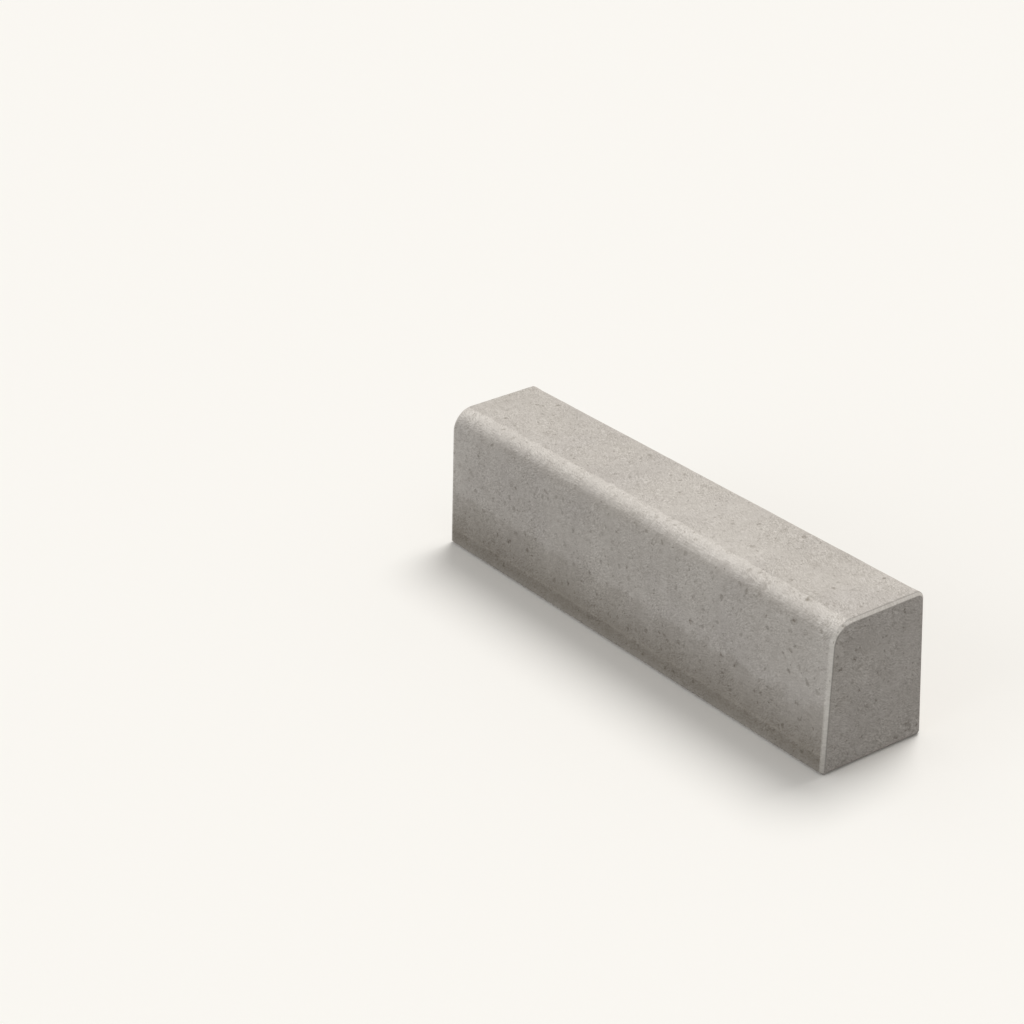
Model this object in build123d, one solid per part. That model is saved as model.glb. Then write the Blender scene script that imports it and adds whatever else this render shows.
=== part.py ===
from build123d import *
import os

# Concrete kerb stone, cast as one block: a battered road face, a rounded nose, a level top and a plain back.
# X runs along the kerb, -Y is the road side, +Y the footway side, and Z is up. Lengths are in millimetres.
# The origin is the middle of the bed, the flat underside that the kerb stands on.

# Driving dimensions
kerb_length = 1000.0
kerb_height = 250.0
bed_width = 200.0  # from the foot of the road face to the back
top_width = 180.0  # from the back to where the road face would reach the level of the top
nose_radius = 40.0  # between the road face and the top
back_radius = 15.0  # between the top and the back
bed_arris = 5.0  # chamfer along both long edges of the bed
end_arris = 5.0  # chamfer round the whole outline of both ends


def kerb_section():
    """The kerb's upright cross-section, with the road face on the left."""
    foot = -bed_width / 2
    back = bed_width / 2
    with BuildSketch(Plane.YZ) as section:
        with BuildLine():
            Polyline((foot, 0), (back, 0), (back, kerb_height), (back - top_width, kerb_height), close=True)
        make_face()
        chamfer(section.vertices().group_by(Axis.Y)[0], bed_arris)
        nose_corner = section.vertices().group_by(Axis.Y)[-1].sort_by(Axis.X)[0]
        fillet(nose_corner, nose_radius)
        back_corner = section.vertices().group_by(Axis.Y)[-1].sort_by(Axis.X)[-1]
        fillet(back_corner, back_radius)
    return section.sketch


def kerb_block():
    """The section run along the kerb's length, with the arris taken off round each end."""
    with BuildPart() as block:
        extrude(kerb_section(), amount=kerb_length / 2, both=True)
        ends = block.faces().filter_by(Axis.X)
        chamfer(ends.edges(), end_arris)
    return block.part


os.makedirs("parts", exist_ok=True)
export_step(kerb_block(), "parts/kerb_stone.step")
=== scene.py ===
"""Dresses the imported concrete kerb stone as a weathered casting.

X runs along the kerb, -Y is the road side and +Y the back, and Z is up from the bed. Lengths are in metres.
"""

import logging
import math
from collections.abc import Callable
from dataclasses import dataclass
from enum import Enum
from typing import ClassVar

import bmesh
import bpy
import numpy as np
from mathutils import Matrix, Vector
from mathutils.kdtree import KDTree


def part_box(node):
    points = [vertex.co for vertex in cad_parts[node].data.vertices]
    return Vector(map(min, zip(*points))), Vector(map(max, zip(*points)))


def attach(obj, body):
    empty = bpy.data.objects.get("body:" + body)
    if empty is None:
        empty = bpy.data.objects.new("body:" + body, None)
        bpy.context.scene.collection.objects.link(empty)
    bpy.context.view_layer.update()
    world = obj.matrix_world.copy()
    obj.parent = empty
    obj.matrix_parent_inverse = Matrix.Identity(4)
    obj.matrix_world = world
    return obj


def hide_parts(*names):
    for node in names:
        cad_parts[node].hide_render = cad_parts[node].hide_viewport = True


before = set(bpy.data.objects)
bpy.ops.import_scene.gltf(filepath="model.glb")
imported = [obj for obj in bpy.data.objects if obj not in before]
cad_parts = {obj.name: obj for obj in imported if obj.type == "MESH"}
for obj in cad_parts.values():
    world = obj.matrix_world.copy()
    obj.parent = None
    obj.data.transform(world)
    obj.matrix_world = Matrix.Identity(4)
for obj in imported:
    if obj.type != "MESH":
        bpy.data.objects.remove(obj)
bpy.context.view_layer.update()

MM = 0.001
NODE = "kerb_stone"
TOUCH = 0.01 * MM  # two places nearer than this are one place
SOME = 0.05  # a share above this counts as some
WHOLE = 0.99  # a share above this counts as all

log = logging.getLogger("kerb_stone")


def linear(hex_colour: str) -> tuple[float, float, float, float]:
    """Turns an sRGB hex colour into linear light.

    Args:
        hex_colour: A colour such as "#c5beb6".

    Returns:
        Red, green, blue and an alpha of 1.
    """
    shares = [int(hex_colour[i : i + 2], 16) / 255 for i in (1, 3, 5)]
    light = [c / 12.92 if c <= 0.04045 else ((c + 0.055) / 1.055) ** 2.4 for c in shares]
    return (light[0], light[1], light[2], 1.0)


def add_node(
    tree: bpy.types.NodeTree, kind: str, inputs: dict[str | int, object] | None = None, **settings: object
) -> bpy.types.Node:
    """Adds one node to a tree.

    Args:
        tree: The tree that gets the node.
        kind: The node's type name.
        inputs: Socket name or number to a value, or to the output socket that is linked there.
        settings: The node's own properties.

    Returns:
        The new node.
    """
    node = tree.nodes.new(kind)
    for name, value in settings.items():
        setattr(node, name, value)
    for key, value in (inputs or {}).items():
        if isinstance(value, bpy.types.NodeSocket):
            tree.links.new(value, node.inputs[key])
        else:
            node.inputs[key].default_value = value
    return node


def near(a: float, b: float) -> bool:
    """Says whether two lengths are the same place."""
    return abs(a - b) < TOUCH


def select_edges(block: bpy.types.Object, wanted: Callable[[Vector, Vector], bool]) -> None:
    """Selects, in edit mode, the edges whose two ends pass a test, and nothing else.

    Args:
        block: The object in edit mode.
        wanted: Takes an edge's two ends and says whether it is selected.
    """
    bpy.ops.mesh.select_mode(type="EDGE")
    bpy.ops.mesh.select_all(action="DESELECT")
    work = bmesh.from_edit_mesh(block.data)
    for edge in work.edges:
        edge.select_set(wanted(edge.verts[0].co, edge.verts[1].co))
    bmesh.update_edit_mesh(block.data)


def unit_ball(subdivisions: int) -> tuple[np.ndarray, np.ndarray]:
    """Takes the vertices and triangles of a ball of radius 1.

    Args:
        subdivisions: How finely it is divided.

    Returns:
        Its vertices, and the three vertex numbers of each triangle.
    """
    bpy.ops.object.select_all(action="DESELECT")
    bpy.ops.mesh.primitive_ico_sphere_add(subdivisions=subdivisions, radius=1)
    ball = bpy.context.object
    mesh = ball.data
    vertices = np.array([vertex.co[:] for vertex in mesh.vertices])
    triangles = np.array([face.vertices[:] for face in mesh.polygons])
    bpy.data.objects.remove(ball)
    bpy.data.meshes.remove(mesh)
    return vertices, triangles


def direction(azimuth: float, elevation: float) -> Vector:
    """Finds the direction from the kerb to something far away.

    Args:
        azimuth: Degrees from the road side, turning towards +X.
        elevation: Degrees above the floor.

    Returns:
        The direction, of length 1.
    """
    turn, rise = math.radians(azimuth), math.radians(elevation)
    return Vector((math.sin(turn) * math.cos(rise), -math.cos(turn) * math.cos(rise), math.sin(rise)))


class Face(Enum):
    """The kerb's faces: first those that its section draws, in order from the foot of the road face."""

    ROAD = "road face"
    NOSE = "nose"
    TOP = "top"
    BACK_EDGE = "back edge"
    BACK = "back"
    BED = "bed"
    NEAR_END = "near end"
    FAR_END = "far end"
    NEAR_ARRIS = "near arris"
    FAR_ARRIS = "far arris"

    @property
    def way(self) -> int:
        """Which way along X the face's own end of the kerb lies."""
        return 1 if self in (Face.NEAR_END, Face.NEAR_ARRIS) else -1


@dataclass(frozen=True)
class Run:
    """One stretch of an outline: straight, or bent to the right where it has a radius."""

    face: Face
    start: tuple[float, float]  # y and z
    heading: float  # radians from +Y towards +Z
    length: float
    radius: float = 0.0

    def at(self, along: float) -> tuple[np.ndarray, np.ndarray]:
        """Finds a place on the run.

        Args:
            along: How far along the run it is.

        Returns:
            The place and the outward normal there, as y and z.
        """
        start, first = np.array(self.start), np.array([-math.sin(self.heading), math.cos(self.heading)])
        if not self.radius:
            return start + along * np.array([first[1], -first[0]]), first
        turned = self.heading - along / self.radius
        normal = np.array([-math.sin(turned), math.cos(turned)])
        return start + self.radius * (normal - first), normal

    def measure(self, places: np.ndarray) -> tuple[np.ndarray, np.ndarray]:
        """Measures places against the run.

        Args:
            places: One row of y and z for each place.

        Returns:
            How far along the run each place's nearest point is, and how far away that point is.
        """
        ahead = np.array([math.cos(self.heading), math.sin(self.heading)])
        out = np.array([-ahead[1], ahead[0]])
        apart = places - np.array(self.start)
        if not self.radius:
            along = np.clip(apart @ ahead, 0, self.length)
            return along, np.hypot(apart @ out, apart @ ahead - along)
        spoke = apart + out * self.radius
        turn = np.arctan2(spoke @ ahead, spoke @ out)
        inside = (turn > -TOUCH) & (turn < self.length / self.radius + TOUCH)
        gap = np.where(inside, np.abs(np.linalg.norm(spoke, axis=1) - self.radius), np.inf)
        return np.clip(turn, 0, None) * self.radius, gap


@dataclass(frozen=True)
class KerbSection:
    """The kerb's upright cross-section."""

    back: float  # y of the back
    height: float
    bed_width: float = 200 * MM
    batter: float = 20 * MM  # how far the road face leans back over its height
    nose_radius: float = 40 * MM
    back_radius: float = 15 * MM
    bed_arris: float = 5 * MM

    @property
    def foot(self) -> float:
        """The y at which the road face would reach the bed."""
        return self.back - self.bed_width

    @property
    def middle(self) -> np.ndarray:
        """The middle of the section, as y and z."""
        return np.array([self.back - self.bed_width / 2, self.height / 2])

    @property
    def lean(self) -> float:
        """The road face's angle from upright, in radians."""
        return math.atan2(self.batter, self.height)

    @property
    def nose_reach(self) -> float:
        """How far the nose round runs down the road face, and along the top, from their sharp corner."""
        return self.nose_radius * math.tan((math.pi / 2 - self.lean) / 2)

    def runs(self) -> list[Run]:
        """Lists the outline's stretches.

        Returns:
            The stretches, from the foot of the road face over the top and round to the bed.
        """
        upright = math.pi / 2
        plan = (
            (Face.ROAD, upright - self.lean, math.hypot(self.batter, self.height) - self.nose_reach, 0.0),
            (Face.NOSE, upright - self.lean, self.nose_radius * (upright - self.lean), self.nose_radius),
            (Face.TOP, 0.0, self.bed_width - self.batter - self.nose_reach - self.back_radius, 0.0),
            (Face.BACK_EDGE, 0.0, self.back_radius * upright, self.back_radius),
            (Face.BACK, -upright, self.height - self.back_radius, 0.0),
            (Face.BED, -math.pi, self.bed_width, 0.0),
        )
        found, spot = [], np.array([self.foot, 0.0])
        for face, heading, length, radius in plan:
            run = Run(face, (float(spot[0]), float(spot[1])), heading, length, radius)
            found.append(run)
            spot = run.at(length)[0]
        return found

    def locate(self, places: np.ndarray) -> tuple[np.ndarray, np.ndarray]:
        """Finds where places lie round the outline.

        Args:
            places: One row of y and z for each place.

        Returns:
            How far round the outline each place is, from the foot of the road face, and how far it is from
            the outline.
        """
        around, gaps, passed = np.zeros(len(places)), np.full(len(places), np.inf), 0.0
        for run in self.runs():
            along, gap = run.measure(places)
            nearer = gap < gaps
            around[nearer] = passed + along[nearer]
            gaps[nearer] = gap[nearer]
            passed += run.length
        return around, gaps


@dataclass(frozen=True)
class HoleField:
    """The air holes or nicks of one kind on one face: how many there are, and of what sizes."""

    face: Face
    count: int
    narrowest: float
    widest: float
    flatness: float = 0.2  # depth as a share of width
    stretch: float = 1.9  # the longest one's length as a share of its width
    dirt_and_shade: tuple[float, float] = (0.15, 0.9)  # the least and the most dirt and painted shade in one, as a share


@dataclass(frozen=True)
class Cut:
    """One small lens-shaped cut into the kerb's surface."""

    # How many lobes its outline has, and how far they swell it, as a share of its radius
    LOBES: ClassVar[tuple[tuple[int, float], ...]] = ((2, 0.13), (3, 0.13), (5, 0.06))
    LIFT: ClassVar[float] = 0.45  # how far the lens's middle stands off the surface, over its half thickness

    place: np.ndarray
    out: np.ndarray
    along: np.ndarray
    length: float
    width: float
    depth: float
    dirt_and_shade: float  # the share of dirt and painted shade in it

    def shape(self, ball: np.ndarray, turns: np.ndarray) -> np.ndarray:
        """Turns a ball of radius 1 into the lens that makes this cut.

        Args:
            ball: The ball's vertices, with its pole along Z.
            turns: How far each set of lobes in the cut's outline is turned, in radians.

        Returns:
            The lens's vertices. It stands off the surface, so that the cut's walls slope gently.
        """
        angle = np.arctan2(ball[:, 1], ball[:, 0])
        swell = 1 + sum(
            size * np.cos(lobes * angle + turn) for (lobes, size), turn in zip(self.LOBES, turns, strict=True)
        )
        ball = ball * np.stack([swell, swell, np.ones_like(swell)], axis=1)
        rim = math.sqrt(1 - self.LIFT**2)
        thick = self.depth / (1 - self.LIFT)
        axes = np.array([self.along, np.cross(self.out, self.along), self.out])
        sizes = np.array([self.length / 2 / rim, self.width / 2 / rim, thick])
        return self.place + self.out * self.LIFT * thick + (ball * sizes) @ axes


# Most faces have wide shallow holes and small deep ones
AIR_HOLES = (
    HoleField(Face.ROAD, 95, 6 * MM, 12 * MM, flatness=0.06, stretch=1.6, dirt_and_shade=(0.2, 0.6)),
    HoleField(Face.ROAD, 110, 2.4 * MM, 5 * MM, dirt_and_shade=(0.05, 0.5)),
    HoleField(Face.NOSE, 18, 2.2 * MM, 4 * MM, dirt_and_shade=(0.1, 0.6)),
    HoleField(Face.TOP, 26, 5 * MM, 10 * MM, flatness=0.06, dirt_and_shade=(0.1, 0.4)),
    HoleField(Face.TOP, 44, 2.2 * MM, 4.5 * MM, dirt_and_shade=(0.05, 0.4)),
    HoleField(Face.BACK_EDGE, 8, 2.2 * MM, 4 * MM, dirt_and_shade=(0.1, 0.6)),
    HoleField(Face.BACK, 70, 5 * MM, 12 * MM, flatness=0.06, stretch=1.6, dirt_and_shade=(0.12, 0.45)),
    HoleField(Face.BACK, 130, 2.4 * MM, 6 * MM, dirt_and_shade=(0.05, 0.5)),
    HoleField(Face.BED, 60, 3 * MM, 8 * MM, dirt_and_shade=(0.1, 0.6)),
    HoleField(Face.NEAR_END, 18, 5 * MM, 11 * MM, flatness=0.06, stretch=1.6, dirt_and_shade=(0.1, 0.4)),
    HoleField(Face.NEAR_END, 22, 2.4 * MM, 4.5 * MM, dirt_and_shade=(0.05, 0.4)),
    HoleField(Face.FAR_END, 18, 5 * MM, 11 * MM, flatness=0.06, stretch=1.6, dirt_and_shade=(0.1, 0.4)),
    HoleField(Face.FAR_END, 22, 2.4 * MM, 4.5 * MM, dirt_and_shade=(0.05, 0.4)),
    HoleField(Face.NEAR_ARRIS, 9, 2.2 * MM, 4.5 * MM, stretch=2.4, dirt_and_shade=(0.1, 0.6)),
    HoleField(Face.FAR_ARRIS, 9, 2.2 * MM, 4.5 * MM, stretch=2.4, dirt_and_shade=(0.1, 0.6)),
)


class Measure(Enum):
    """What KerbStone.mark_places stores on each vertex: lengths in metres, and shares."""

    AROUND = "around"  # how far round the section, from the foot of the road face
    BOWED = "bowed"  # the same, but more towards the ends, because the nose's pale band sinks there
    INWARD = "inward"  # how far from the nearer end
    END = "end"  # the share of the way over the arris: 0 on the long faces, 1 on the ends
    HOLE = "hole"  # the share of dirt and painted shade in a hole or nick
    COARSE = "coarse"  # how strong the marks in the paste are: 1 on the road face, less on the nose


@dataclass(frozen=True)
class Surface:
    """What the concrete's nodes read about the place that they colour."""

    tree: bpy.types.NodeTree
    where: bpy.types.NodeSocket  # place in metres
    flat: bpy.types.NodeSocket  # place in metres, as if each face were laid out flat
    measured: dict[Measure, bpy.types.NodeSocket]

    @classmethod
    def read(cls, tree: bpy.types.NodeTree, ridge: float) -> "Surface":
        """Adds the nodes that read a place.

        Args:
            tree: The material's nodes.
            ridge: How far round the section the nose's middle is. The faces are laid out away from it.

        Returns:
            The sockets that give the place.
        """
        measured = {
            measure: add_node(tree, "ShaderNodeAttribute", attribute_name=measure.value).outputs["Fac"]
            for measure in Measure
        }
        where = add_node(tree, "ShaderNodeTexCoord").outputs["Object"]
        axis = add_node(tree, "ShaderNodeSeparateXYZ", {0: where}).outputs
        past = add_node(tree, "ShaderNodeMath", {0: measured[Measure.AROUND], 1: ridge}, operation="SUBTRACT")
        away = add_node(tree, "ShaderNodeMath", {0: past.outputs[0]}, operation="ABSOLUTE")
        sides = add_node(tree, "ShaderNodeCombineXYZ", {"X": axis["X"], "Y": away.outputs[0]})
        ends = add_node(tree, "ShaderNodeCombineXYZ", {"X": axis["Y"], "Y": axis["Z"], "Z": 1.0})
        over = measured[Measure.END]
        on_end = add_node(tree, "ShaderNodeMath", {0: over, 1: WHOLE}, operation="GREATER_THAN")
        flat = add_node(
            tree,
            "ShaderNodeMix",
            {0: on_end.outputs[0], 4: sides.outputs[0], 5: ends.outputs[0]},
            data_type="VECTOR",
        )
        return cls(tree, where, flat.outputs[1], measured)


@dataclass(frozen=True)
class Grain:
    """Lighter and darker patches of one size in the cement paste."""

    size: float
    strength: float  # from darkest to lightest, as a share of the paste's lightness
    middle: float = 0.5

    def draw(self, surface: Surface) -> bpy.types.NodeSocket:
        """Draws the patches, from 0 where they are dark to 1 where they are light."""
        settings = {"Vector": surface.where, "Scale": 1 / self.size, "Detail": 1.0}
        return add_node(surface.tree, "ShaderNodeTexNoise", settings).outputs["Fac"]


@dataclass(frozen=True)
class Streak:
    """Slanting strokes that the paste's flow in the mould leaves on each face."""

    length: float
    width: float
    strength: float
    slant: float = 22.0  # degrees
    swirl: float = 40 * MM  # size of the eddies that turn them
    drift: float = 20 * MM  # the most that the eddies carry them
    patch: float = 55 * MM  # size of the patches in which they are stronger or fainter
    patch_noise: tuple[float, float] = (0.35, 0.65)  # the noise at which they are faintest, and strongest
    contrast: tuple[float, float] = (0.6, 1.3)  # how strong they are there
    middle: float = 0.5

    def draw(self, surface: Surface) -> bpy.types.NodeSocket:
        """Draws the strokes.

        Args:
            surface: The place that is read.

        Returns:
            0 where they are dark, and 1 where they are light.
        """
        tree = surface.tree
        settings = {"Vector": surface.where, "Scale": 1 / self.swirl, "Detail": 1.0}
        eddies = add_node(tree, "ShaderNodeTexNoise", settings)
        swirled = add_node(
            tree,
            "ShaderNodeVectorMath",
            {0: eddies.outputs["Color"], 1: (self.drift,) * 3, 2: surface.flat},
            operation="MULTIPLY_ADD",
        )
        turned = add_node(
            tree,
            "ShaderNodeMapping",
            {
                "Vector": swirled.outputs[0],
                "Rotation": (0, 0, math.radians(-self.slant)),
                "Scale": (self.length, self.width, 1),
            },
            vector_type="TEXTURE",
        )
        settings = {"Vector": turned.outputs[0], "Scale": 1.0, "Detail": 1.5, "Distortion": 0.5}
        strokes = add_node(tree, "ShaderNodeTexNoise", settings)
        settings = {"Vector": surface.where, "Scale": 1 / self.patch, "Detail": 2.0}
        patches = add_node(tree, "ShaderNodeTexNoise", settings)
        contrast = add_node(
            tree,
            "ShaderNodeMapRange",
            {
                "Value": patches.outputs["Fac"],
                "From Min": self.patch_noise[0],
                "From Max": self.patch_noise[1],
                "To Min": self.contrast[0],
                "To Max": self.contrast[1],
            },
        )
        contrast = add_node(
            tree,
            "ShaderNodeMath",
            {0: contrast.outputs["Result"], 1: surface.measured[Measure.COARSE]},
            operation="MULTIPLY",
        )
        about = add_node(
            tree, "ShaderNodeMath", {0: strokes.outputs["Fac"], 1: self.middle}, operation="SUBTRACT"
        )
        varied = add_node(
            tree,
            "ShaderNodeMath",
            {0: about.outputs[0], 1: contrast.outputs[0], 2: self.middle},
            operation="MULTIPLY_ADD",
        )
        return varied.outputs[0]


class SpotLook(Enum):
    """How a spot shows."""

    PATCH = "a soft patch"
    RIM = "a soft rim"


@dataclass(frozen=True)
class Spot:
    """Dark spots of chance sizes, where the skin is thin over trapped air or has closed over it."""

    WAVES: ClassVar[float] = 0.8  # how many the outline has to the length of the widest radius
    RAGGED: ClassVar[float] = 2.0  # the most that they shift the outline, as a share of the widest radius
    NARROWEST: ClassVar[float] = 0.4  # the narrowest radius, as a share of the widest
    SHOWN: ClassVar[tuple[float, float]] = (0.4, 0.9)  # the chance at which a spot is clear, and is dark
    RIM_AT: ClassVar[float] = 0.8  # where a rim is darkest, as a share of the radius
    # Where the dark starts and where it is full, as shares of the radius, from the middle or from the rim
    FADE: ClassVar[dict[SpotLook, tuple[float, float]]] = {
        SpotLook.PATCH: (1.0, 0.3),
        SpotLook.RIM: (0.45, 0.0),
    }

    apart: float
    widest: float  # the widest spot's radius
    strength: float
    look: SpotLook = SpotLook.PATCH
    stretch: float = 1.0  # length as a share of width
    slant: float = 0.0  # degrees
    middle: float = 1.0

    def draw(self, surface: Surface) -> bpy.types.NodeSocket:
        """Draws the spots, with ragged outlines.

        Args:
            surface: The place that is read.

        Returns:
            0 in the darkest spots, and 1 off them.
        """
        tree = surface.tree
        settings = {"Vector": surface.where, "Scale": self.WAVES / self.widest, "Detail": 2.0}
        waves = add_node(tree, "ShaderNodeTexNoise", settings)
        ragged = add_node(
            tree,
            "ShaderNodeVectorMath",
            {0: waves.outputs["Color"], 1: (self.RAGGED * self.widest,) * 3, 2: surface.flat},
            operation="MULTIPLY_ADD",
        )
        turned = add_node(
            tree,
            "ShaderNodeMapping",
            {
                "Vector": ragged.outputs[0],
                "Rotation": (0, 0, math.radians(-self.slant)),
                "Scale": (self.stretch * self.apart, self.apart, 1),
            },
            vector_type="TEXTURE",
        )
        settings = {"Vector": turned.outputs[0], "Scale": 1.0}
        cell = add_node(tree, "ShaderNodeTexVoronoi", settings, voronoi_dimensions="2D")
        chance = add_node(tree, "ShaderNodeSeparateColor", {0: cell.outputs["Color"]}).outputs
        radius = add_node(
            tree,
            "ShaderNodeMapRange",
            {
                "Value": chance["Red"],
                "To Min": self.NARROWEST * self.widest / self.apart,
                "To Max": self.widest / self.apart,
            },
        )
        settings = {"Value": chance["Green"], "From Min": self.SHOWN[0], "From Max": self.SHOWN[1]}
        depth = add_node(tree, "ShaderNodeMapRange", settings)
        settings = {0: cell.outputs["Distance"], 1: radius.outputs["Result"]}
        share = add_node(tree, "ShaderNodeMath", settings, operation="DIVIDE")
        if self.look is SpotLook.RIM:
            settings = {0: share.outputs[0], 1: self.RIM_AT}
            share = add_node(tree, "ShaderNodeMath", settings, operation="SUBTRACT")
            share = add_node(tree, "ShaderNodeMath", {0: share.outputs[0]}, operation="ABSOLUTE")
        outside, inside = self.FADE[self.look]
        full = add_node(
            tree,
            "ShaderNodeMapRange",
            {"Value": share.outputs[0], "From Min": outside, "From Max": inside},
            interpolation_type="SMOOTHSTEP",
        )
        dark = full.outputs["Result"]
        for factor in (depth.outputs["Result"], surface.measured[Measure.COARSE]):
            dark = add_node(tree, "ShaderNodeMath", {0: dark, 1: factor}, operation="MULTIPLY").outputs[0]
        return add_node(tree, "ShaderNodeMath", {0: 1.0, 1: dark}, operation="SUBTRACT").outputs[0]


@dataclass(frozen=True)
class Edge:
    """Where a film on the concrete fades in, along one of its measures."""

    measure: Measure
    bare: float  # where there is none of the film yet
    full: float  # where it is full
    waves: tuple[float, float] = (30 * MM, 30 * MM)  # size of the edge's waves, along the kerb and across
    reach: float = 0.0  # the most that they would shift the edge either way

    def mask(self, surface: Surface) -> bpy.types.NodeSocket:
        """Draws the edge.

        Args:
            surface: The place that is read.

        Returns:
            0 where the film is bare, and 1 where it is full.
        """
        tree = surface.tree
        value = surface.measured[self.measure]
        if self.reach:
            settings = {"Vector": surface.flat, "Scale": (*self.waves, 1)}
            drawn_out = add_node(tree, "ShaderNodeMapping", settings, vector_type="TEXTURE")
            settings = {"Vector": drawn_out.outputs[0], "Scale": 1.0, "Detail": 3.0}
            noise = add_node(tree, "ShaderNodeTexNoise", settings)
            settings = {"Value": noise.outputs["Fac"], "To Min": -self.reach, "To Max": self.reach}
            shift = add_node(tree, "ShaderNodeMapRange", settings)
            value = add_node(tree, "ShaderNodeMath", {0: value, 1: shift.outputs["Result"]}).outputs[0]
        ramp = add_node(
            tree,
            "ShaderNodeMapRange",
            {"Value": value, "From Min": self.bare, "From Max": self.full},
            interpolation_type="SMOOTHSTEP",
        )
        return ramp.outputs["Result"]


LONG_FACES = Edge(Measure.END, 1.0, 0.0)  # all but the ends, fading over the arris
ROAD_SIDE = Edge(Measure.AROUND, 262 * MM, 238 * MM)  # the road face, fading over the nose
TOP_SIDE = Edge(Measure.AROUND, 238 * MM, 262 * MM)  # the rest, from the nose over the top to the bed


@dataclass(frozen=True)
class Film:
    """A film that lies over the paste: dirt, wear, painted light or painted shade."""

    colour: str
    share: float  # how much of the paste it hides where it is full
    edges: tuple[Edge, ...]

    def mask(self, surface: Surface) -> bpy.types.NodeSocket:
        """Draws where the film lies.

        Args:
            surface: The place that is read.

        Returns:
            The share of the paste that it hides.
        """
        hidden = self.share
        for edge in self.edges:
            settings = {0: edge.mask(surface), 1: hidden}
            hidden = add_node(surface.tree, "ShaderNodeMath", settings, operation="MULTIPLY").outputs[0]
        return hidden


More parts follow.
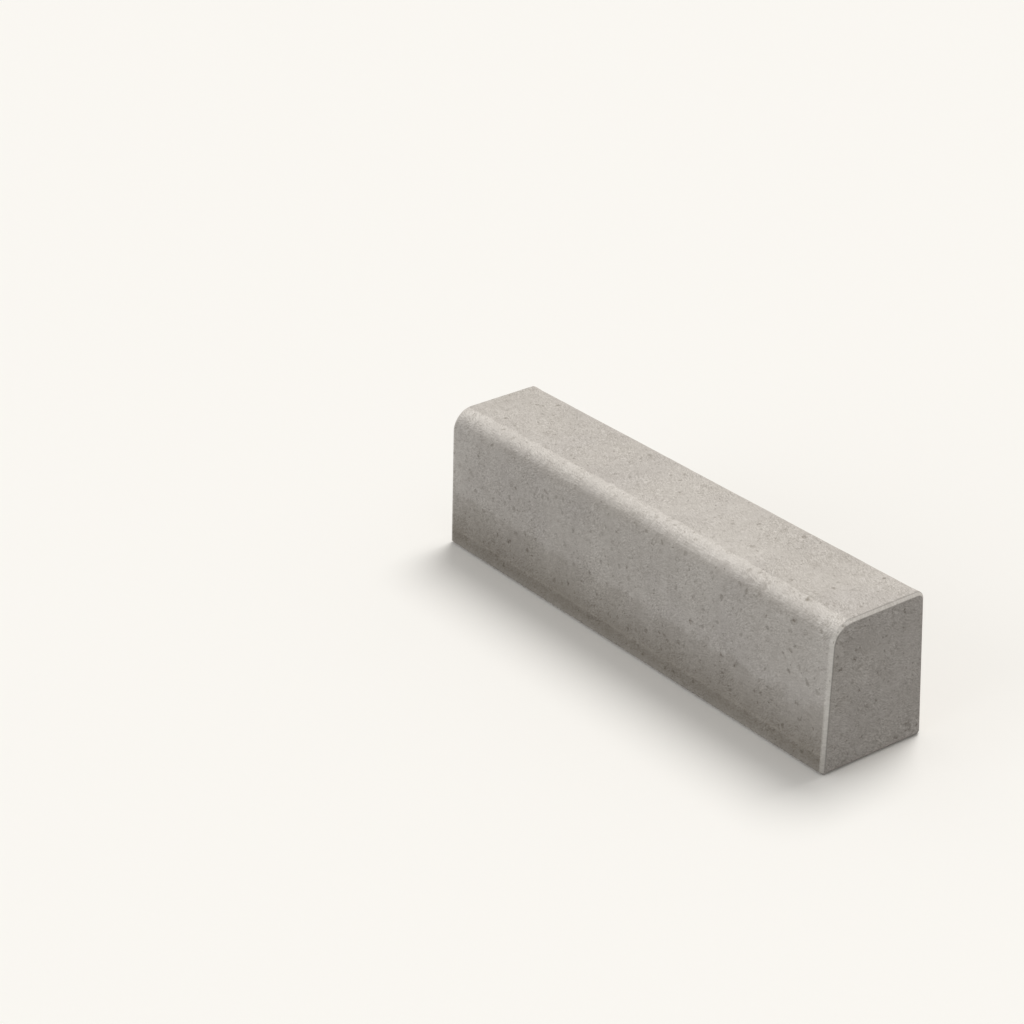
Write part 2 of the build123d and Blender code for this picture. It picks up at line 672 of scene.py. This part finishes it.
@dataclass(frozen=True)
class CastConcrete:
    """Dense precast concrete, cast in a steel mould and left out in the weather.

    The mould gives a flat matt skin of cement paste with air holes in it. Rain bleaches the top, feet and
    tyres rub the nose pale, and dirt climbs the foot of the road face. Painted light and shade lie over
    these: a highlight on the nose and the arrises, and shade on the lower nose, at the foot, on the ends and
    in the holes.
    """

    fresh_paste: str = "#c5beb5"
    dull_paste: str = "#bfb8b0"
    patch: float = 150 * MM  # size of the fresher and duller patches
    patch_noise: tuple[float, float] = (0.36, 0.64)  # the noise at which the paste is fresh, and is dull
    lightness: float = 1.01
    dust: tuple[float, float, float] = (0.0, 0.05, 0.12)  # how much browner it makes the darker marks
    shades: tuple[float, float] = (0.8, 1.1)  # the darkest and the lightest marks
    roughness: tuple[float, float] = (0.95, 0.8)  # of those two
    relief: float = 0.6 * MM  # how much higher the surface stands where the shade is lighter by 1
    ior: float = 1.5
    ridge: float = 245 * MM  # how far round the section the nose's middle is
    marks: tuple[Grain | Streak | Spot, ...] = (
        Grain(260 * MM, 0.18),
        Grain(45 * MM, 0.16),
        Grain(12 * MM, 0.20),
        Grain(2.5 * MM, 0.14),  # sand of 0.5 mm, drawn coarser so that it shows
        Streak(15 * MM, 4.5 * MM, 0.30),
        Streak(5 * MM, 2.4 * MM, 0.76, slant=27.0),
        Spot(26 * MM, 6 * MM, 0.32),
        Spot(12 * MM, 2.2 * MM, 0.28, stretch=1.8, slant=55.0),
        Spot(38 * MM, 6 * MM, 0.22, SpotLook.RIM),
    )
    films: tuple[Film, ...] = (
        # Painted shade on the lower nose, which ends at a line
        Film(
            "#8a8277",
            0.16,
            (
                Edge(Measure.AROUND, 215 * MM, 233 * MM),
                Edge(Measure.BOWED, 239.5 * MM, 237.5 * MM, (40 * MM, 3 * MM), 4 * MM),
                LONG_FACES,
            ),
        ),
        # The nose, rubbed pale by feet and tyres and painted with a highlight, in short strokes along the
        # kerb at its lower edge
        Film(
            "#d9d2c9",
            1.0,
            (
                Edge(Measure.BOWED, 239 * MM, 260 * MM, (15 * MM, 3 * MM), 24 * MM),
                Edge(Measure.BOWED, 306 * MM, 252 * MM),
                Edge(Measure.BOWED, 276.5 * MM, 271.5 * MM, (22 * MM, 22 * MM), 7 * MM),
                LONG_FACES,
            ),
        ),
        # The road face, lighter towards each end
        Film(
            "#e2dcd3",
            0.21,
            (
                Edge(Measure.INWARD, 90 * MM, 0),
                Edge(Measure.AROUND, 30 * MM, 140 * MM),
                Edge(Measure.AROUND, 275 * MM, 240 * MM),
                LONG_FACES,
            ),
        ),
        # Splashed dirt and painted shade on the road face: a film with an edge, thicker towards the foot
        Film(
            "#867d70",
            0.28,
            (Edge(Measure.AROUND, 112 * MM, 92 * MM, (50 * MM, 50 * MM), 24 * MM), LONG_FACES),
        ),
        Film(
            "#867d70",
            0.66,
            (
                Edge(Measure.AROUND, 104 * MM, 8 * MM, (50 * MM, 50 * MM), 24 * MM),
                Edge(Measure.AROUND, -15 * MM, 24 * MM),
                LONG_FACES,
            ),
        ),
        # A line of dust along the foot, over a narrow stain that is partly painted shade where the road met
        # it
        Film(
            "#beb4a6",
            0.16,
            (Edge(Measure.AROUND, 29 * MM, 32 * MM), Edge(Measure.AROUND, 36 * MM, 33 * MM), LONG_FACES),
        ),
        Film(
            "#71695e",
            0.18,
            (
                Edge(Measure.AROUND, 32 * MM, 26 * MM, reach=8 * MM),
                Edge(Measure.AROUND, 0, 25 * MM),
                LONG_FACES,
            ),
        ),
        # The arris on the road side: a painted highlight with pale fines beside it and on it, and a dark line
        # where it meets the end
        Film(
            "#ebe5db",
            0.44,
            (Edge(Measure.INWARD, 9 * MM, 6.5 * MM), Edge(Measure.AROUND, 262 * MM, 240 * MM), LONG_FACES),
        ),
        Film(
            "#ebe5db",
            0.86,
            (
                Edge(Measure.AROUND, -60 * MM, 130 * MM),
                ROAD_SIDE,
                Edge(Measure.END, 0.0, 0.06),
                Edge(Measure.END, 0.84, 0.70),
            ),
        ),
        Film("#7b766f", 0.42, (ROAD_SIDE, Edge(Measure.END, 0.72, 0.88), Edge(Measure.END, 1.0, 0.985))),
        # The arris over the top: a thin broken dark line where it meets the top, and a painted highlight with
        # pale fines on it
        Film(
            "#7b766f",
            0.34,
            (
                TOP_SIDE,
                Edge(Measure.INWARD, 6 * MM, 5 * MM, (9 * MM, 9 * MM), 5 * MM),
                Edge(Measure.END, 0.32, 0.12),
            ),
        ),
        Film("#e6e0d6", 0.42, (TOP_SIDE, Edge(Measure.END, 0.1, 0.3), Edge(Measure.END, 0.97, 0.9))),
        # The ends, painted a little darker in shade
        Film("#88837b", 0.07, (Edge(Measure.END, 0.985, 1.0),)),
        # Dirt and painted shade in the air holes and nicks, most at their floors
        Film("#6f675c", 0.80, (Edge(Measure.HOLE, 0.0, 1.0),)),
    )

    def material(self) -> bpy.types.Material:
        """Makes the concrete's material.

        Returns:
            The material, which reads what KerbStone.mark_places stores.
        """
        made = bpy.data.materials.new("precast_concrete_weathered")
        made.use_nodes = True
        tree = made.node_tree
        tree.nodes.clear()
        surface = Surface.read(tree, self.ridge)
        colour = self.paste(surface)
        for film in self.films:
            mix = add_node(
                tree,
                "ShaderNodeMix",
                {0: film.mask(surface), 6: colour, 7: linear(film.colour)},
                data_type="RGBA",
            )
            colour = mix.outputs[2]
        shade = self.shade(surface)
        tinted = add_node(
            tree,
            "ShaderNodeVectorMath",
            {0: shade, 1: [1 + more for more in self.dust], 2: [-more for more in self.dust]},
            operation="MULTIPLY_ADD",
        )
        shaded = add_node(
            tree,
            "ShaderNodeMix",
            {0: 1.0, 6: colour, 7: tinted.outputs[0]},
            data_type="RGBA",
            blend_type="MULTIPLY",
        )
        rough = add_node(
            tree,
            "ShaderNodeMapRange",
            {
                "Value": shade,
                "From Min": self.shades[0],
                "From Max": self.shades[1],
                "To Min": self.roughness[0],
                "To Max": self.roughness[1],
            },
        )
        bump = add_node(tree, "ShaderNodeBump", {"Strength": 1.0, "Distance": self.relief, "Height": shade})
        shader = add_node(
            tree,
            "ShaderNodeBsdfPrincipled",
            {
                "Base Color": shaded.outputs[2],
                "Roughness": rough.outputs["Result"],
                "IOR": self.ior,
                "Normal": bump.outputs["Normal"],
            },
        )
        add_node(tree, "ShaderNodeOutputMaterial", {"Surface": shader.outputs["BSDF"]})
        return made

    def paste(self, surface: Surface) -> bpy.types.NodeSocket:
        """Mixes fresher and duller cement paste, in patches as large as a hand.

        Args:
            surface: The place that is read.

        Returns:
            The paste's colour.
        """
        tree = surface.tree
        settings = {"Vector": surface.where, "Scale": 1 / self.patch, "Detail": 2.0}
        noise = add_node(tree, "ShaderNodeTexNoise", settings)
        fresh_at, dull_at = self.patch_noise
        dull = add_node(
            tree,
            "ShaderNodeMapRange",
            {"Value": noise.outputs["Fac"], "From Min": fresh_at, "From Max": dull_at},
            interpolation_type="SMOOTHSTEP",
        )
        mix = add_node(
            tree,
            "ShaderNodeMix",
            {0: dull.outputs["Result"], 6: linear(self.fresh_paste), 7: linear(self.dull_paste)},
            data_type="RGBA",
        )
        return mix.outputs[2]

    def shade(self, surface: Surface) -> bpy.types.NodeSocket:
        """Sums how much lighter or darker the marks make the paste.

        Args:
            surface: The place that is read.

        Returns:
            The factor on the colour, about 1.
        """
        total = self.lightness - sum(mark.strength * mark.middle for mark in self.marks)
        for mark in self.marks:
            total = add_node(
                surface.tree,
                "ShaderNodeMath",
                {0: mark.draw(surface), 1: mark.strength, 2: total},
                operation="MULTIPLY_ADD",
            ).outputs[0]
        return total


@dataclass(frozen=True)
class KerbStone:
    """The kerb itself, one block of cast concrete."""

    TRIES: ClassVar[int] = 40  # the most places that are tried for each hole
    SMALLER: ClassVar[float] = 1.5  # over 1 makes more of the holes small
    ROOM: ClassVar[float] = 0.85  # the clear radius round a hole, as a share of its length
    DEPTHS: ClassVar[tuple[float, float]] = (0.75, 1.25)  # the least and the most, as shares of the usual
    # The shares of an arris's nicks along the road face, nose, top, back edge and back
    NICKS: ClassVar[tuple[float, ...]] = (0.4, 0.12, 0.2, 0.03, 0.25)
    NICKS_FROM: ClassVar[float] = 0.12  # where they start on each of these, as a share of its length
    RAGGED: ClassVar[float] = 0.05  # how uneven a hole's wall is, as a share of its radius
    DIRT_AND_SHADE_RISE: ClassVar[float] = 0.5  # under 1 spreads the dirt and painted shade up a hole's wall
    END_FLOOR: ClassVar[float] = 0.3  # a hole's floor in an end lies further over the arris than this share

    length: float
    section: KerbSection
    end_arris: float = 5 * MM
    arris_wear: float = 1 * MM  # round worn onto the arris's own edges
    nose_steps: int = 12  # faces across a round, here and in the next two
    back_steps: int = 6
    wear_steps: int = 4
    bow: float = 6 * MM  # how far the nose's pale band sinks at the ends
    grid: float = 6 * MM  # about the size of the faces that the casting's unevenness bends
    # The casting's unevenness: a name for each kind, how large its waves are, and how deep
    unevenness: tuple[tuple[str, float, float], ...] = (
        ("mould_sag", 90 * MM, 0.9 * MM),
        ("paste_ripple", 18 * MM, 0.35 * MM),
    )
    fade: float = 20 * MM  # over how far it fades out towards the bed and the ends
    smooth_below: float = 30.0  # faces that meet at fewer degrees than this are shaded smooth
    foot_margin: float = 14 * MM  # how far more the holes keep from the bed's edge
    fine_hole: float = 6 * MM  # a hole wider than this is cut with a finer ball
    # How strong the paste's marks are, by how far round the section, then on the ends and the arrises
    coarseness: tuple[tuple[float, float], ...] = (
        (230 * MM, 1.0),
        (250 * MM, 0.85),
        (265 * MM, 0.85),
        (290 * MM, 1.0),
        (400 * MM, 1.0),
        (425 * MM, 0.75),
    )
    near_end_coarseness: float = 1.15
    far_end_coarseness: float = 0.85
    arris_coarseness: float = 0.5
    seed: int = 11

    @classmethod
    def from_frame(cls) -> "KerbStone":
        """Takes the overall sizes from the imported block."""
        low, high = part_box(NODE)
        return cls(length=high.x - low.x, section=KerbSection(back=high.y, height=high.z - low.z))

    @property
    def half(self) -> float:
        """Half the kerb's length."""
        return self.length / 2

    def build(self, concrete: bpy.types.Material) -> bpy.types.Object:
        """Models the kerb.

        Args:
            concrete: The material that the kerb is made of.

        Returns:
            The finished kerb, at the origin.
        """
        kerb = self.cast_block()
        kerb.data.materials.append(concrete)
        self.divide(kerb)
        self.make_uneven(kerb)
        cuts = self.plan_cuts(kerb)
        self.cut_holes(kerb, cuts)
        self.mark_places(kerb, cuts)
        return kerb

    def cast_block(self) -> bpy.types.Object:
        """Shapes the plain block: a box, battered, rounded along the top and chamfered along the bed.

        Returns:
            The block.
        """
        section = self.section
        y, z = section.middle
        bpy.ops.object.select_all(action="DESELECT")
        bpy.ops.mesh.primitive_cube_add(size=1, location=(0, y, z))
        block = bpy.context.object
        block.name = block.data.name = "kerb"
        block.scale = (self.length, section.bed_width, section.height)
        bpy.ops.object.transform_apply(location=True, rotation=True, scale=True)
        bpy.ops.object.mode_set(mode="EDIT")

        def long_edge(y: float, z: float) -> Callable[[Vector, Vector], bool]:
            """Tests for the edge that runs along the kerb at a place in its section."""
            return lambda a, b: all(near(p.y, y) and near(p.z, z) for p in (a, b))

        select_edges(block, long_edge(section.foot, section.height))
        bpy.ops.transform.translate(value=(0, section.batter, 0))
        rounds = (
            (section.foot + section.batter, section.nose_reach, self.nose_steps),
            (section.back, section.back_radius, self.back_steps),
        )
        for edge, reach, steps in rounds:
            select_edges(block, long_edge(edge, section.height))
            bpy.ops.mesh.bevel(offset=reach, segments=steps, profile=0.5, clamp_overlap=False)
        for edge in (section.foot, section.back):
            select_edges(block, long_edge(edge, 0.0))
            bpy.ops.mesh.bevel(offset=section.bed_arris, segments=1, clamp_overlap=False)
        bpy.ops.object.mode_set(mode="OBJECT")
        return block

    def divide(self, kerb: bpy.types.Object) -> None:
        """Divides the long faces into a fine grid, and takes the arris off round the ends.

        Args:
            kerb: The plain block.
        """
        bpy.ops.object.mode_set(mode="EDIT")
        work = bmesh.from_edit_mesh(kerb.data)
        spans = {
            round(edge.calc_length() / TOUCH)
            for edge in work.edges
            if near(edge.verts[0].co.x, edge.verts[1].co.x) and edge.calc_length() > 2 * self.grid
        }
        for span in sorted(spans):
            length = span * TOUCH
            select_edges(kerb, lambda a, b: near(a.x, b.x) and abs((a - b).length - length) < 2 * TOUCH)
            bpy.ops.mesh.subdivide(number_cuts=round(length / self.grid) - 1)
        select_edges(kerb, lambda a, b: near(abs(a.x), self.half) and near(a.x, b.x))
        bpy.ops.mesh.bevel(offset=self.end_arris, segments=1, clamp_overlap=False)
        rims = (self.half, self.half - self.end_arris)
        select_edges(kerb, lambda a, b: near(a.x, b.x) and any(near(abs(a.x), rim) for rim in rims))
        bpy.ops.mesh.bevel(offset=self.arris_wear, segments=self.wear_steps, profile=0.5, clamp_overlap=False)
        # The edges along the kerb are halved first, because one pass makes at most 100 cuts
        for length, cuts in ((self.length, 1), (self.half, round(self.half / self.grid) - 1)):
            select_edges(kerb, lambda a, b: abs(a.x - b.x) > 0.9 * length)
            bpy.ops.mesh.subdivide(number_cuts=cuts)
        bpy.ops.object.mode_set(mode="OBJECT")

    def make_uneven(self, kerb: bpy.types.Object) -> None:
        """Gives the cast faces their slight unevenness, always inwards, and leaves the bed and the ends flat.

        Args:
            kerb: The block with its faces divided.
        """
        group = kerb.vertex_groups.new(name="cast_faces")
        for vertex in kerb.data.vertices:
            from_end = self.half - self.end_arris - 2 * self.arris_wear - abs(vertex.co.x)
            above_bed = vertex.co.z - 2 * self.section.bed_arris
            group.add([vertex.index], min(max(min(from_end, above_bed) / self.fade, 0), 1), "REPLACE")
        for name, size, depth in self.unevenness:
            texture = bpy.data.textures.new(name, "CLOUDS")
            texture.noise_scale = size
            texture.noise_depth = 1
            bend = kerb.modifiers.new(name, "DISPLACE")
            bend.texture, bend.texture_coords = texture, "LOCAL"
            bend.strength, bend.mid_level = depth, 1.0
            bend.vertex_group = group.name
            bpy.ops.object.modifier_apply(modifier=name)
            bpy.data.textures.remove(texture)
        kerb.vertex_groups.clear()

    def pick_place(
        self, face: Face, margin: float, chance: np.random.Generator
    ) -> tuple[np.ndarray, np.ndarray]:
        """Picks a place on a face at random.

        Args:
            face: The face.
            margin: How far the place stays from the face's edges.
            chance: The source of chance.

        Returns:
            The place on the plain block, and a direction in the face.
        """
        runs = self.section.runs()
        if face in (Face.NEAR_ARRIS, Face.FAR_ARRIS):
            run = runs[chance.choice(len(self.NICKS), p=self.NICKS)]
            spot, normal = run.at(chance.uniform(self.NICKS_FROM, 1) * run.length)
            spot = spot - normal * self.end_arris / 2
            place = np.array([face.way * (self.half - self.end_arris / 2), *spot])
            return place, np.array([0, normal[1], -normal[0]])
        slant = chance.normal(size=3)
        if face in (Face.NEAR_END, Face.FAR_END):
            run = runs[chance.choice(len(runs))]
            spot, normal = run.at(chance.uniform(0, run.length))
            inset = spot - normal * (self.end_arris + margin)
            spot = self.section.middle + math.sqrt(chance.uniform()) * (inset - self.section.middle)
            return np.array([face.way * self.half, *spot]), slant
        run = next(run for run in runs if run.face == face)
        edge = min(margin, run.length / 2)
        low = edge + (self.foot_margin if face in (Face.ROAD, Face.BED) else 0)
        spot, _ = run.at(chance.uniform(low, run.length - edge))
        reach = self.half - self.end_arris - margin
        return np.array([chance.uniform(-reach, reach), *spot]), slant

    def plan_cuts(self, kerb: bpy.types.Object) -> list[Cut]:
        """Spreads the air holes and the nicks over the kerb, none touching another.

        Args:
            kerb: The block that is to be cut.

        Returns:
            The cuts.
        """
        chance = np.random.default_rng(self.seed)
        cuts: list[Cut] = []
        places, reaches = np.empty((0, 3)), np.empty(0)
        for field in AIR_HOLES:
            left, tries = field.count, self.TRIES * field.count
            while left and tries:
                tries -= 1
                spread = field.widest / field.narrowest
                width = field.narrowest * spread ** (chance.uniform() ** self.SMALLER)
                length = width * chance.uniform(1, field.stretch)
                guess, along = self.pick_place(field.face, length, chance)
                _, place, out, _ = kerb.closest_point_on_mesh(Vector(guess))
                place, out = np.array(place), np.array(out)
                along = along - out * (along @ out)
                if np.any(np.linalg.norm(places - place, axis=1) < reaches + length * self.ROOM):
                    continue
                depth = width * field.flatness * chance.uniform(*self.DEPTHS)
                dirt_and_shade = chance.uniform(*field.dirt_and_shade)
                cuts.append(Cut(place, out, along / np.linalg.norm(along), length, width, depth, dirt_and_shade))
                places, reaches = np.vstack([places, place]), np.append(reaches, length * self.ROOM)
                left -= 1
        return cuts

    def cut_holes(self, kerb: bpy.types.Object, cuts: list[Cut]) -> None:
        """Cuts the air holes and the nicks, all at once.

        Args:
            kerb: The block that is cut.
            cuts: The cuts.
        """
        chance = np.random.default_rng(self.seed + 1)
        vertices, faces, used = [], [], 0
        plain, fine = unit_ball(subdivisions=2), unit_ball(subdivisions=3)
        for cut in cuts:
            ball, corners = fine if cut.width > self.fine_hole else plain
            rough = ball * chance.normal(1, self.RAGGED, (len(ball), 1))
            vertices.append(cut.shape(rough, chance.uniform(0, 2 * math.pi, len(Cut.LOBES))))
            faces.append(corners + used)
            used += len(ball)
        mesh = bpy.data.meshes.new("air_holes")
        mesh.from_pydata(np.vstack(vertices).tolist(), [], np.vstack(faces).tolist())
        mesh.materials.append(bpy.data.materials.new("air_hole"))
        cutter = bpy.data.objects.new("air_holes", mesh)
        bpy.context.scene.collection.objects.link(cutter)
        cutting = kerb.modifiers.new("air_holes", "BOOLEAN")
        cutting.operation, cutting.solver, cutting.object = "DIFFERENCE", "MANIFOLD", cutter
        cutting.material_mode = "TRANSFER"
        bpy.context.view_layer.objects.active = kerb
        bpy.ops.object.modifier_apply(modifier=cutting.name)
        bpy.data.objects.remove(cutter)
        bpy.data.meshes.remove(mesh)
        log.info("cut %d holes and nicks", len(cuts))

    def mark_places(self, kerb: bpy.types.Object, cuts: list[Cut]) -> None:
        """Stores where each vertex lies, for the concrete's material to read, and shades the kerb smooth.

        Args:
            kerb: The finished shape.
            cuts: The cuts that were made in it.
        """
        mesh = kerb.data
        places = np.empty(len(mesh.vertices) * 3)
        mesh.vertices.foreach_get("co", places)
        places = places.reshape(-1, 3)
        along = places[:, 0]
        around, gap = self.section.locate(places[:, 1:])
        beyond = (np.abs(along) - self.half + self.end_arris) / self.end_arris
        # The floor of a hole in an end, which lies well inside the outline, counts as the end
        in_end = (beyond > self.END_FLOOR) & (gap > self.end_arris + MM)
        end = np.where(in_end, 1, np.clip(beyond, 0, 1))
        coarse = np.interp(around, *np.transpose(self.coarseness))
        coarse = np.where(end > SOME, self.arris_coarseness, coarse)
        end_coarse = np.where(along > 0, self.near_end_coarseness, self.far_end_coarseness)
        measured = {
            Measure.AROUND: around,
            Measure.BOWED: around + self.bow * (along / self.half) ** 2,
            Measure.INWARD: self.half - np.abs(along),
            Measure.END: end,
            Measure.HOLE: self.hole_dirt_and_shade(mesh, places, cuts),
            Measure.COARSE: np.where(end > WHOLE, end_coarse, coarse),
        }
        for measure, values in measured.items():
            mark = mesh.attributes.new(measure.value, "FLOAT", "POINT")
            mark.data.foreach_set("value", values.astype(np.float32))
        mesh.polygons.foreach_set("material_index", np.zeros(len(mesh.polygons), np.int32))
        while len(mesh.materials) > 1:
            bpy.data.materials.remove(mesh.materials.pop(index=-1))
        bpy.ops.object.shade_smooth_by_angle(angle=math.radians(self.smooth_below))

    def hole_dirt_and_shade(self, mesh: bpy.types.Mesh, places: np.ndarray, cuts: list[Cut]) -> np.ndarray:
        """Works out how much dirt and painted shade each vertex has in its hole or nick, whose faces have the
        second material.

        Args:
            mesh: The finished shape.
            places: One row of x, y and z for each vertex.
            cuts: The cuts that were made in it.

        Returns:
            The share of dirt and painted shade at each vertex: most at the deepest place, and none on the rim
            or off the cuts.
        """
        count = len(places)
        cut_face, sizes = np.empty(len(mesh.polygons), np.int32), np.empty(len(mesh.polygons), np.int32)
        mesh.polygons.foreach_get("material_index", cut_face)
        mesh.polygons.foreach_get("loop_total", sizes)
        corners = np.empty(len(mesh.loops), np.int32)
        mesh.loops.foreach_get("vertex_index", corners)
        cut_corners = np.bincount(corners, np.repeat(cut_face > 0, sizes), count)
        share = cut_corners / np.bincount(corners, minlength=count)
        tree = KDTree(len(cuts))
        for number, cut in enumerate(cuts):
            tree.insert(cut.place, number)
        tree.balance()
        dirt_and_shade = np.zeros(count)
        for vertex in np.nonzero(share > WHOLE)[0]:
            cut = cuts[tree.find(places[vertex])[1]]
            depth = (cut.place - places[vertex]) @ cut.out / cut.depth
            dirt_and_shade[vertex] = cut.dirt_and_shade * min(max(depth, 0), 1) ** self.DIRT_AND_SHADE_RISE
        return dirt_and_shade


@dataclass(frozen=True)
class Lamp:
    """A soft lamp far away, which lights the whole scene evenly."""

    name: str
    azimuth: float  # degrees from the road side, turning towards +X
    elevation: float  # degrees above the floor
    level: float  # light on a face turned to it, where 1 shows a colour as it is written
    softness: float  # degrees across
    colour: str = "#ffffff"

    def place(self) -> None:
        """Adds the lamp to the scene."""
        data = bpy.data.lights.new(self.name, "SUN")
        data.energy = self.level * math.pi
        data.angle = math.radians(self.softness)
        data.color = linear(self.colour)[:3]
        lamp = bpy.data.objects.new(self.name, data)
        lamp.rotation_euler = direction(self.azimuth, self.elevation).to_track_quat("Z", "Y").to_euler()
        bpy.context.scene.collection.objects.link(lamp)


@dataclass(frozen=True)
class Viewpoint:
    """The camera: where it looks from, and how."""

    azimuth: float = 56.14  # degrees from the road side, turning towards +X
    elevation: float = 26.44
    roll: float = -2.62
    distance: float = 4344 * MM
    aside: float = -249.7 * MM  # of the point looked at, to the camera's right of the kerb's middle
    above: float = 232.5 * MM  # of the point looked at, over the floor
    focal_pixels: float = 2691.0
    frame_pixels: float = 1024.0
    sensor_mm: float = 36.0
    sight: float = 100.0  # how far it sees

    def place(self) -> None:
        """Adds the camera and makes it the scene's own."""
        turn, roll = math.radians(self.azimuth), math.radians(self.roll)
        back = direction(self.azimuth, self.elevation)
        right = Vector((math.cos(turn), math.sin(turn), 0.0))
        up = back.cross(right)
        target = right * self.aside + Vector((0, 0, self.above))
        rolled_right = right * math.cos(roll) + up * math.sin(roll)
        rolled_up = up * math.cos(roll) - right * math.sin(roll)
        data = bpy.data.cameras.new("camera")
        data.sensor_width = self.sensor_mm
        data.lens = self.focal_pixels / self.frame_pixels * self.sensor_mm
        data.clip_end = self.sight
        camera = bpy.data.objects.new("camera", data)
        axes = Matrix((rolled_right, rolled_up, back)).transposed().to_4x4()
        camera.matrix_world = Matrix.Translation(target + back * self.distance) @ axes
        bpy.context.scene.collection.objects.link(camera)
        bpy.context.scene.camera = camera


@dataclass(frozen=True)
class Studio:
    """A pale floor under plain soft light."""

    backdrop: str = "#fefbf5"
    floor_bounce: float = 0.37  # the floor's lightness to all but the camera, so that it lights the kerb less
    ambient: float = 0.455  # light that comes evenly from all round
    floor_size: float = 80.0
    lamps: tuple[Lamp, ...] = (
        Lamp("key", azimuth=200.0, elevation=60.0, level=0.53, softness=30.0),
        Lamp("fill", azimuth=-10.0, elevation=15.0, level=0.2, softness=60.0, colour="#f4f9ff"),
    )

    def set_up(self) -> None:
        """Adds the floor, the lamps, the surrounding light and the camera."""
        scene = bpy.context.scene
        scene.view_settings.view_transform = "Standard"
        self.lay_floor()
        self.light_world(scene)
        for lamp in self.lamps:
            lamp.place()
        Viewpoint().place()

    def tone(self, tree: bpy.types.NodeTree, lightness: float) -> bpy.types.NodeSocket:
        """Gives the backdrop's colour to what sees it, and a grey to what it lights.

        Args:
            tree: The nodes that get the colour.
            lightness: The grey's lightness.

        Returns:
            The colour: the backdrop's for the camera's rays and those that gloss or glass sends on.
        """
        path = add_node(tree, "ShaderNodeLightPath").outputs
        seen = path["Is Camera Ray"]
        for ray in ("Is Glossy Ray", "Is Transmission Ray"):
            seen = add_node(tree, "ShaderNodeMath", {0: seen, 1: path[ray]}, operation="MAXIMUM").outputs[0]
        grey = (lightness,) * 3 + (1.0,)
        mix = add_node(tree, "ShaderNodeMix", {0: seen, 6: grey, 7: linear(self.backdrop)}, data_type="RGBA")
        return mix.outputs[2]

    def lay_floor(self) -> None:
        """Lays the plain pale floor."""
        bpy.ops.object.select_all(action="DESELECT")
        bpy.ops.mesh.primitive_plane_add(size=self.floor_size)
        floor = bpy.context.object
        floor.name = "floor"
        made = bpy.data.materials.new("studio_floor")
        made.use_nodes = True
        tree = made.node_tree
        tree.nodes.clear()
        paint = add_node(tree, "ShaderNodeBsdfDiffuse", {"Color": self.tone(tree, self.floor_bounce)})
        add_node(tree, "ShaderNodeOutputMaterial", {"Surface": paint.outputs[0]})
        floor.data.materials.append(made)

    def light_world(self, scene: bpy.types.Scene) -> None:
        """Surrounds the scene with even light, which shows as the backdrop's colour.

        Args:
            scene: The scene that is lit.
        """
        scene.world = bpy.data.worlds.new("studio")
        scene.world.use_nodes = True
        tree = scene.world.node_tree
        tree.nodes.clear()
        light = add_node(
            tree, "ShaderNodeBackground", {"Color": self.tone(tree, self.ambient), "Strength": 1.0}
        )
        add_node(tree, "ShaderNodeOutputWorld", {"Surface": light.outputs[0]})


def main() -> None:
    """Builds the kerb, dresses it and sets up the studio."""
    logging.basicConfig(level=logging.INFO, format="%(name)s: %(message)s")
    stone = KerbStone.from_frame()
    kerb = stone.build(CastConcrete().material())
    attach(kerb, "root")
    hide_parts(NODE)
    log.info("%s: %d vertices, %d faces", kerb.name, len(kerb.data.vertices), len(kerb.data.polygons))
    Studio().set_up()


if __name__ == "__main__":
    main()
